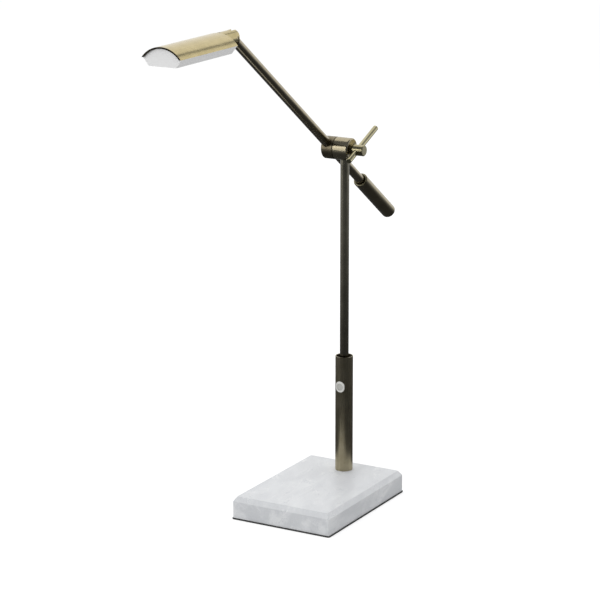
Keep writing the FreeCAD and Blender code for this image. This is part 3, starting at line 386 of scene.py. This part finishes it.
# Dimmer: an oval white ABS bezel saddled on the sleeve and a round ABS push button in it, both
# moulded with a soft shine. The button is a shade greyer than the bezel.

MOULD_GRAIN = 0.8 * MM  # A mould's real grain is about 0.1 mm, too fine to show, so it is drawn coarser.


def moulded_plastic(name, dark_hex, pale_hex, shine, ior):
    """Plastic or resin with a faint mottle and dimpling, as from a spark-eroded mould."""
    material, tree = new_finish(name)
    place = add(tree, "ShaderNodeTexCoord")
    mottle = add(tree, "ShaderNodeTexNoise", {"Vector": place.outputs["Object"], "Scale": 1 / MOULD_GRAIN,
                                              "Detail": 3.0})
    tone = add(tree, "ShaderNodeMix", {0: mottle.outputs["Fac"], 6: linear(dark_hex), 7: linear(pale_hex)},
               data_type="RGBA")
    relief = add(tree, "ShaderNodeBump", {"Height": mottle.outputs["Fac"], "Strength": 0.15, "Distance": 0.05 * MM})
    skin = add(tree, "ShaderNodeBsdfPrincipled", {"Base Color": tone.outputs[2], "Roughness": shine, "IOR": ior,
                                                  "Normal": relief.outputs[0]})
    add(tree, "ShaderNodeOutputMaterial", {"Surface": skin.outputs[0]})
    return material


bezel_plastic = moulded_plastic("moulded_white_abs", "#E2E2DD", "#ECECE8", shine=0.32, ior=1.53)
button_plastic = moulded_plastic("moulded_grey_white_abs", "#C0C0BB", "#CACAC5", shine=0.38, ior=1.53)
coat(bezel_plastic, "button_bezel")
coat(button_plastic, "dimmer_button")


# Dimmer's inside: a black nylon holder in the sleeve, a green glass-fibre circuit board on it with a
# black push switch, and four small plated screws. Each screw is turned, with a domed head that a
# punch has given a cross slot.

black_nylon = moulded_plastic("moulded_black_nylon", "#191919", "#242424", shine=0.5, ior=1.53)
board_resin = moulded_plastic("green_glass_fibre_board", "#1F4A2C", "#2A5C38", shine=0.4, ior=1.55)
coat(black_nylon, "dimmer_holder", "dimmer_switch")
coat(board_resin, "dimmer_board")


def new_tree(name, sizes):
    """An empty Geometry Nodes tree with a named input for each size, and the sockets that give the sizes."""
    tree = bpy.data.node_groups.new(name, "GeometryNodeTree")
    for size, kind in sizes.items():
        tree.interface.new_socket(size, in_out="INPUT", socket_type="NodeSocket" + kind)
    tree.interface.new_socket("Geometry", in_out="OUTPUT", socket_type="NodeSocketGeometry")
    return tree, add(tree, "NodeGroupInput").outputs


def grown(name, tree, **sizes):
    """Runs a Geometry Nodes tree once and keeps what it makes as a plain mesh, without empty material slots."""
    piece = bpy.data.objects.new(name, bpy.data.meshes.new(name + "_seed"))
    maker = piece.modifiers.new("maker", "NODES")
    maker.node_group = tree
    for item in tree.interface.items_tree:
        key = item.name.lower().replace(" ", "_")
        if item.in_out == "INPUT" and key in sizes:
            maker[item.identifier] = sizes[key]
    bpy.context.scene.collection.objects.link(piece)
    shaped = piece.evaluated_get(bpy.context.evaluated_depsgraph_get())
    mesh = bpy.data.meshes.new_from_object(shaped)
    piece.modifiers.remove(maker)
    piece.data = mesh
    mesh.name = name
    slots = list(mesh.materials)
    numbers = [face.material_index for face in mesh.polygons]
    mesh.materials.clear()
    for finish in filter(None, slots):
        mesh.materials.append(finish)
    for face, number in zip(mesh.polygons, numbers):
        face.material_index = mesh.materials.find(slots[number].name)
    return piece


SLOT_LENGTH_SHARE = 1.1
SLOT_WIDTH_SHARE = 0.26
CUTTER_SHARE = 4.0


def screw_tree():
    """Cross-slotted screws on the corners of a grid, heads up, then turned and put in place."""
    tree, size = new_tree("screws_on_a_grid", {
        "Head Radius": "Float", "Head Height": "Float", "Shank Radius": "Float", "Shank Length": "Float",
        "Width": "Float", "Height": "Float", "Columns": "Int", "Rows": "Int",
        "Turn": "Rotation", "Place": "Vector", "Finish": "Material"})

    # The head is a ball squashed to a dome, with its lower half and two crossed slots cut away.
    flatness = add(tree, "ShaderNodeMath", {0: size["Head Height"], 1: size["Head Radius"]}, operation="DIVIDE")
    squash = add(tree, "ShaderNodeCombineXYZ", {0: 1.0, 1: 1.0, 2: flatness.outputs[0]})
    ball = add(tree, "GeometryNodeMeshUVSphere", {"Segments": 32, "Rings": 16, "Radius": size["Head Radius"]})
    dome = add(tree, "GeometryNodeTransform", {"Geometry": ball.outputs["Mesh"], "Scale": squash.outputs[0]})
    wide = add(tree, "ShaderNodeMath", {0: size["Head Radius"], 1: CUTTER_SHARE}, operation="MULTIPLY")
    all_round = add(tree, "ShaderNodeCombineXYZ", {0: wide.outputs[0], 1: wide.outputs[0], 2: wide.outputs[0]})
    under = add(tree, "ShaderNodeMath", {0: wide.outputs[0], 1: -0.5}, operation="MULTIPLY")
    below = add(tree, "ShaderNodeCombineXYZ", {2: under.outputs[0]})
    block = add(tree, "GeometryNodeMeshCube", {"Size": all_round.outputs[0]})
    cutters = [add(tree, "GeometryNodeTransform", {"Geometry": block.outputs["Mesh"],
                                                   "Translation": below.outputs[0]})]
    long = add(tree, "ShaderNodeMath", {0: size["Head Radius"], 1: SLOT_LENGTH_SHARE}, operation="MULTIPLY")
    narrow = add(tree, "ShaderNodeMath", {0: size["Head Radius"], 1: SLOT_WIDTH_SHARE}, operation="MULTIPLY")
    lift = add(tree, "ShaderNodeCombineXYZ", {2: size["Head Height"]})
    for across, along in ((long, narrow), (narrow, long)):
        bar = add(tree, "ShaderNodeCombineXYZ", {0: across.outputs[0], 1: along.outputs[0],
                                                 2: size["Head Height"]})
        blade = add(tree, "GeometryNodeMeshCube", {"Size": bar.outputs[0]})
        cutters.append(add(tree, "GeometryNodeTransform", {"Geometry": blade.outputs["Mesh"],
                                                           "Translation": lift.outputs[0]}))
    head = add(tree, "GeometryNodeMeshBoolean", {"Mesh 1": dome.outputs[0]}, operation="DIFFERENCE", solver="EXACT")
    for cutter in cutters:
        tree.links.new(cutter.outputs[0], head.inputs["Mesh 2"])

    # The shank hangs under the head.
    rod = add(tree, "GeometryNodeMeshCylinder", {"Vertices": 24, "Radius": size["Shank Radius"],
                                                 "Depth": size["Shank Length"]})
    drop = add(tree, "ShaderNodeMath", {0: size["Shank Length"], 1: -0.5}, operation="MULTIPLY")
    down = add(tree, "ShaderNodeCombineXYZ", {2: drop.outputs[0]})
    shank = add(tree, "GeometryNodeTransform", {"Geometry": rod.outputs["Mesh"], "Translation": down.outputs[0]})
    screw = add(tree, "GeometryNodeJoinGeometry")
    for part in (head, shank):
        tree.links.new(part.outputs[0], screw.inputs[0])

    # One screw stands on each point of the grid.
    grid = add(tree, "GeometryNodeMeshGrid", {"Size X": size["Width"], "Size Y": size["Height"],
                                              "Vertices X": size["Columns"], "Vertices Y": size["Rows"]})
    spread = add(tree, "GeometryNodeInstanceOnPoints", {"Points": grid.outputs["Mesh"], "Instance": screw.outputs[0]})
    placed = add(tree, "GeometryNodeTransform", {"Geometry": spread.outputs[0], "Translation": size["Place"],
                                                 "Rotation": size["Turn"]})
    real = add(tree, "GeometryNodeRealizeInstances", {0: placed.outputs[0]})
    done = add(tree, "GeometryNodeSetMaterial", {"Geometry": real.outputs[0], "Material": size["Finish"]})
    add(tree, "NodeGroupOutput", {"Geometry": done.outputs[0]})
    return tree


BOARD_HEAD_RADIUS = 2.2 * MM
BOARD_HEAD_HEIGHT = 1.4 * MM

screws = screw_tree()
low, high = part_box("board_screws")
board_screws = grown(
    "board_screws_turned", screws, head_radius=BOARD_HEAD_RADIUS, head_height=BOARD_HEAD_HEIGHT,
    shank_radius=1.25 * MM, shank_length=6 * MM, width=high[0] - low[0] - 2 * BOARD_HEAD_RADIUS,
    height=high[2] - low[2] - 2 * BOARD_HEAD_RADIUS, columns=2, rows=2, turn=(math.pi / 2, 0, 0),
    place=((low[0] + high[0]) / 2, low[1] + BOARD_HEAD_HEIGHT, (low[2] + high[2]) / 2), finish=zinc)
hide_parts("board_screws")
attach(board_screws, "base")


# Post: 12.7 mm drawn brass tube with a darker antique finish, centred in the sleeve's open top by a
# black nylon bush. A grey PVC lead runs up inside it.

post_brass = antique_brass("antique_brass_post", (0, 0, 1), "#8F8876", "#A39C87", shine=0.19)
lead_pvc = moulded_plastic("extruded_grey_pvc", "#B4B4B0", "#C2C2BE", shine=0.45, ior=1.53)
coat(post_brass, "post_tube")
coat(black_nylon, "post_bush")
coat(lead_pvc, "post_lead")


# Hub: two halves of 32 mm brass bar, turned on a lathe, so that the fine lines run round the barrel. The
# turning half is rougher and painted darker, as painted shade from the arm in front of it. A black nylon
# washer shows as a thin dark seam between them.

TURNED_LINE = 0.02


def turned_brass(name, dark_hex, pale_hex, shine):
    """Antique brass whose fine lathe lines run round a barrel that lies along X."""
    material, tree = new_finish(name)
    place = add(tree, "ShaderNodeTexCoord")
    rings = add(tree, "ShaderNodeMapping", {"Vector": place.outputs["Object"],
                                            "Scale": (1.0, TURNED_LINE, TURNED_LINE)})
    lines = add(tree, "ShaderNodeTexNoise", {"Vector": rings.outputs[0], "Scale": 1 / LINE_WIDTH, "Detail": 2.0})
    lined_metal(tree, patina_tone(tree, place, dark_hex, pale_hex), lines,
                smooth=shine - 0.03, rough=shine + 0.04, depth=0.05)
    return material


barrel_brass = turned_brass("antique_brass_turned", "#A89D82", "#BBB094", shine=0.21)
# The darker colour of the turning half is painted shade; its higher roughness is its own.
swivel_brass_painted_shade = turned_brass("antique_brass_turned_darker", "#7C725D", "#92886F", shine=0.33)
coat(barrel_brass, "hub_body")
coat(swivel_brass_painted_shade, "hub_swivel")
coat(black_nylon, "hub_washer")


# Clamp knob: a turned brass knob on a steel screw, with an 8 mm brass bar pressed through it as its
# grip. All but the screw have the antique finish, rubbed smoother by the hand.

BAR_SLOPE = math.radians(23.3)

bar_brass = antique_brass("antique_brass_drawn_bar", (0, math.cos(BAR_SLOPE), math.sin(BAR_SLOPE)),
                          "#B6AE8B", "#C4BC99", shine=0.08)
knob_brass = turned_brass("antique_brass_knob", "#A39A78", "#B3AA88", shine=0.15)
coat(knob_brass, "clamp_knob", "knob_washer")
coat(bar_brass, "knob_bar")
coat(zinc, "clamp_screw")


# Arm: drawn brass tube a little stouter than the post, passed through the hub's turning half and held
# there by a steel grub screw. A flat brass tongue is plugged into its upper end.

ARM_SLOPE = math.radians(35.7)
ARM_ALONG = (0, -math.cos(ARM_SLOPE), math.sin(ARM_SLOPE))

arm_brass = antique_brass("antique_brass_drawn_arm", ARM_ALONG, "#988D74", "#AAA087", shine=0.19)
coat(arm_brass, "arm_tube", "arm_tongue")
coat(zinc, "arm_grub_screw", "arm_end_plug")
coat(lead_pvc, "arm_lead")


# Counterweight: a brass sleeve, closed below, over a cast iron core, screwed to the arm's lower end by
# a steel stud. The core shows in the open end, rough as cast under a thin bronze-coloured lacquer, and
# the sleeve's rim there is dull brass with a pale painted highlight.

CASTING_GRAIN = 0.9 * MM

cast_iron, tree = new_finish("bronze_lacquered_cast_iron")
place = add(tree, "ShaderNodeTexCoord")
sand = add(tree, "ShaderNodeTexNoise", {"Vector": place.outputs["Object"], "Scale": 1 / CASTING_GRAIN,
                                        "Detail": 5.0})
tone = add(tree, "ShaderNodeMix", {0: sand.outputs["Fac"], 6: linear("#857D62"), 7: linear("#A1987A")},
           data_type="RGBA")
relief = add(tree, "ShaderNodeBump", {"Height": sand.outputs["Fac"], "Strength": 0.5, "Distance": 0.2 * MM})
metal = add(tree, "ShaderNodeBsdfPrincipled", {"Base Color": tone.outputs[2], "Metallic": 1.0, "Roughness": 0.6,
                                               "Normal": relief.outputs[0]})
add(tree, "ShaderNodeOutputMaterial", {"Surface": metal.outputs[0]})


def recoloured(material, where, other_hex):
    """Gives a finish another colour where a mask is 1, and returns its shader."""
    tree = material.node_tree
    surface = next(node for node in tree.nodes if node.bl_idname == "ShaderNodeBsdfPrincipled")
    bare = surface.inputs["Base Color"].links[0].from_socket
    tone = add(tree, "ShaderNodeMix", {0: where, 6: bare, 7: linear(other_hex)}, data_type="RGBA")
    tree.links.new(tone.outputs[2], surface.inputs["Base Color"])
    return surface


RIM_FACING = 0.9
RIM_ROUGHNESS = 0.55

# The whole counterweight is painted a little darker than the arm's brass, as painted shade.
weight_brass = antique_brass("antique_brass_counterweight", ARM_ALONG, "#8F856B", "#A1967A", shine=0.13)

# Only the rim of the open end faces up along the arm.
tree = weight_brass.node_tree
place = add(tree, "ShaderNodeTexCoord")
facing = add(tree, "ShaderNodeVectorMath", {0: place.outputs["Normal"], 1: ARM_ALONG}, operation="DOT_PRODUCT")
rim = add(tree, "ShaderNodeMath", {0: facing.outputs["Value"], 1: RIM_FACING}, operation="GREATER_THAN")
# The rim's pale colour is a painted highlight; its higher roughness is the rim's own.
surface = recoloured(weight_brass, rim.outputs[0], "#D2CBA8")
lined = surface.inputs["Roughness"].links[0].from_socket
worn = add(tree, "ShaderNodeMapRange", {0: rim.outputs[0], 3: lined, 4: RIM_ROUGHNESS})
tree.links.new(worn.outputs[0], surface.inputs["Roughness"])
coat(weight_brass, "counterweight_sleeve")
coat(cast_iron, "counterweight_core")
coat(zinc, "counterweight_stud")


# Knuckle: a short brass cylinder, brushed lengthwise and antiqued like the shade, and slotted for the
# arm's tongue. It tilts on a brass pin and carries the head on one steel bolt, with nylon washers
# between the moving faces.

# Painted paler than the tubes' brass, like the shade, as a painted reflection of the bright room above.
head_brass = antique_brass("antique_brass_brushed_lengthwise", (0, 1, 0), "#BAAC7E", "#C8B98C", shine=0.17)
coat(head_brass, "head_knuckle")
coat(barrel_brass, "tilt_pin")
coat(black_nylon, "tilt_washers", "roll_washer")
coat(zinc, "roll_bolt", "spring_washer")


# Shade: brass sheet rolled to a shallow arch and brushed lengthwise on its outside. Its cut ends and its
# inside are painted near black, as painted shade. A brass plate with two screws closes its rear end.

ARCH_RADIUS = 36.15 * MM
LEAST_OUTWARD = 10 * MM

# Painted paler than the tubes' brass, which is the same finish, as a painted reflection of the bright room above.
shade_brass = antique_brass("antique_brass_shade", (0, 1, 0), "#C2B282", "#CFBF90", shine=0.18)

# What faces well away from the arch's axis keeps the brushed brass; the rest is painted near black as painted shade.
low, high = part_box("head_shell")
arch_axis = ((low[0] + high[0]) / 2, 0, high[2] - ARCH_RADIUS)
tree = shade_brass.node_tree
place = add(tree, "ShaderNodeTexCoord")
from_axis = add(tree, "ShaderNodeVectorMath", {0: place.outputs["Object"], 1: arch_axis}, operation="SUBTRACT")
outwards = add(tree, "ShaderNodeVectorMath", {0: from_axis.outputs[0], 1: (1, 0, 1)}, operation="MULTIPLY")
facing = add(tree, "ShaderNodeVectorMath", {0: outwards.outputs[0], 1: place.outputs["Normal"]},
             operation="DOT_PRODUCT")
painted_shade_edges = add(tree, "ShaderNodeMath", {0: facing.outputs["Value"], 1: LEAST_OUTWARD}, operation="LESS_THAN")
recoloured(shade_brass, painted_shade_edges.outputs[0], "#2E2A22")
coat(shade_brass, "head_shell")
coat(head_brass, "head_end_plate")

PLATE_HEAD_RADIUS = 2.8 * MM
PLATE_HEAD_HEIGHT = 1.8 * MM

low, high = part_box("end_plate_screws")
plate_screws = grown(
    "end_plate_screws_turned", screws, head_radius=PLATE_HEAD_RADIUS, head_height=PLATE_HEAD_HEIGHT,
    shank_radius=1.5 * MM, shank_length=10 * MM, width=high[0] - low[0] - 2 * PLATE_HEAD_RADIUS, height=0.0,
    columns=2, rows=1, turn=(-math.pi / 2, 0, 0),
    place=((low[0] + high[0]) / 2, high[1] - PLATE_HEAD_HEIGHT, (low[2] + high[2]) / 2), finish=zinc)
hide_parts("end_plate_screws")
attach(plate_screws, "head")


# Carrier and lamps: an extruded aluminium carrier with a white board under it. Two rows of small lamps
# are soldered to the board, each a white housing with a shallow yellow lens.

EXTRUDED_LINE = 0.015

extruded, tree = new_finish("extruded_aluminium")
place = add(tree, "ShaderNodeTexCoord")
drawn_out = add(tree, "ShaderNodeMapping", {"Vector": place.outputs["Object"], "Scale": (1.0, EXTRUDED_LINE, 1.0)})
lines = add(tree, "ShaderNodeTexNoise", {"Vector": drawn_out.outputs[0], "Scale": 1 / LINE_WIDTH, "Detail": 2.0})
tone = add(tree, "ShaderNodeMix", {0: lines.outputs["Fac"], 6: linear("#BEBFC1"), 7: linear("#D2D3D4")},
           data_type="RGBA")
metal = add(tree, "ShaderNodeBsdfPrincipled", {"Base Color": tone.outputs[2], "Metallic": 1.0, "Roughness": 0.38})
add(tree, "ShaderNodeOutputMaterial", {"Surface": metal.outputs[0]})
solder_mask = moulded_plastic("white_solder_mask", "#EDEDEA", "#F4F4F2", shine=0.35, ior=1.55)
phosphor = moulded_plastic("led_phosphor_silicone", "#E8C24A", "#F2D168", shine=0.3, ior=1.41)
coat(extruded, "head_frame")
coat(solder_mask, "led_board")

LENS_RADIUS_SHARE = 0.42


def lamp_tree():
    """Rows of lamps: a square housing with a shallow round lens under it, at each point of a grid."""
    tree, size = new_tree("lamps_in_rows", {
        "Housing Width": "Float", "Housing Height": "Float", "Lens Height": "Float", "Width": "Float",
        "Length": "Float", "Rows": "Int", "Columns": "Int", "Place": "Vector", "Housing": "Material",
        "Lens": "Material"})

    # The housing is a block, and the lens a squashed ball that stands half out of its underside.
    block = add(tree, "ShaderNodeCombineXYZ", {0: size["Housing Width"], 1: size["Housing Width"],
                                               2: size["Housing Height"]})
    housing = add(tree, "GeometryNodeMeshCube", {"Size": block.outputs[0]})
    radius = add(tree, "ShaderNodeMath", {0: size["Housing Width"], 1: LENS_RADIUS_SHARE}, operation="MULTIPLY")
    flatness = add(tree, "ShaderNodeMath", {0: size["Lens Height"], 1: radius.outputs[0]}, operation="DIVIDE")
    squash = add(tree, "ShaderNodeCombineXYZ", {0: 1.0, 1: 1.0, 2: flatness.outputs[0]})
    sink = add(tree, "ShaderNodeMath", {0: size["Housing Height"], 1: -0.5}, operation="MULTIPLY")
    down = add(tree, "ShaderNodeCombineXYZ", {2: sink.outputs[0]})
    ball = add(tree, "GeometryNodeMeshUVSphere", {"Segments": 12, "Rings": 6, "Radius": radius.outputs[0]})
    lens = add(tree, "GeometryNodeTransform", {"Geometry": ball.outputs["Mesh"], "Translation": down.outputs[0],
                                               "Scale": squash.outputs[0]})
    smooth = add(tree, "GeometryNodeSetShadeSmooth", {"Geometry": lens.outputs[0]})
    marked = add(tree, "GeometryNodeStoreNamedAttribute", {"Geometry": smooth.outputs[0], "Name": "is_lens",
                                                           "Value": True}, data_type="BOOLEAN", domain="FACE")
    lamp = add(tree, "GeometryNodeJoinGeometry")
    for part in (housing.outputs["Mesh"], marked.outputs[0]):
        tree.links.new(part, lamp.inputs[0])

    # One lamp hangs at each point of the grid.
    grid = add(tree, "GeometryNodeMeshGrid", {"Size X": size["Width"], "Size Y": size["Length"],
                                              "Vertices X": size["Rows"], "Vertices Y": size["Columns"]})
    spread = add(tree, "GeometryNodeInstanceOnPoints", {"Points": grid.outputs["Mesh"], "Instance": lamp.outputs[0]})
    placed = add(tree, "GeometryNodeTransform", {"Geometry": spread.outputs[0], "Translation": size["Place"]})
    real = add(tree, "GeometryNodeRealizeInstances", {0: placed.outputs[0]})
    plain = add(tree, "GeometryNodeSetMaterial", {"Geometry": real.outputs[0], "Material": size["Housing"]})
    is_lens = add(tree, "GeometryNodeInputNamedAttribute", {"Name": "is_lens"}, data_type="BOOLEAN")
    done = add(tree, "GeometryNodeSetMaterial", {"Geometry": plain.outputs[0], "Selection": is_lens.outputs[0],
                                                 "Material": size["Lens"]})
    add(tree, "NodeGroupOutput", {"Geometry": done.outputs[0]})
    return tree


LAMP_WIDTH = 3 * MM
LENS_HEIGHT = 0.35 * MM

low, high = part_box("led_chips")
lamps = grown(
    "lamps_in_rows", lamp_tree(), housing_width=LAMP_WIDTH, housing_height=high[2] - low[2],
    lens_height=LENS_HEIGHT, width=high[0] - low[0] - LAMP_WIDTH, length=high[1] - low[1] - LAMP_WIDTH,
    rows=2, columns=14, place=tuple((low[axis] + high[axis]) / 2 for axis in range(3)),
    housing=solder_mask, lens=phosphor)
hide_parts("led_chips")
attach(lamps, "head")


# Diffuser: a tray of opal acrylic under the lamps, cast with a satin surface. Its front wall fills
# the arch and shows as a pale grey-white face.

OPAL_MOTTLE = 30 * MM

opal, tree = new_finish("opal_acrylic")
place = add(tree, "ShaderNodeTexCoord")
milk = add(tree, "ShaderNodeTexNoise", {"Vector": place.outputs["Object"], "Scale": 1 / OPAL_MOTTLE, "Detail": 2.0})
tone = add(tree, "ShaderNodeMix", {0: milk.outputs["Fac"], 6: linear("#FAFAFA"), 7: linear("#FDFDFD")},
           data_type="RGBA")
skin = add(tree, "ShaderNodeBsdfPrincipled", {"Base Color": tone.outputs[2], "Roughness": 0.4, "IOR": 1.49})
add(tree, "ShaderNodeOutputMaterial", {"Surface": skin.outputs[0]})
coat(opal, "diffuser")
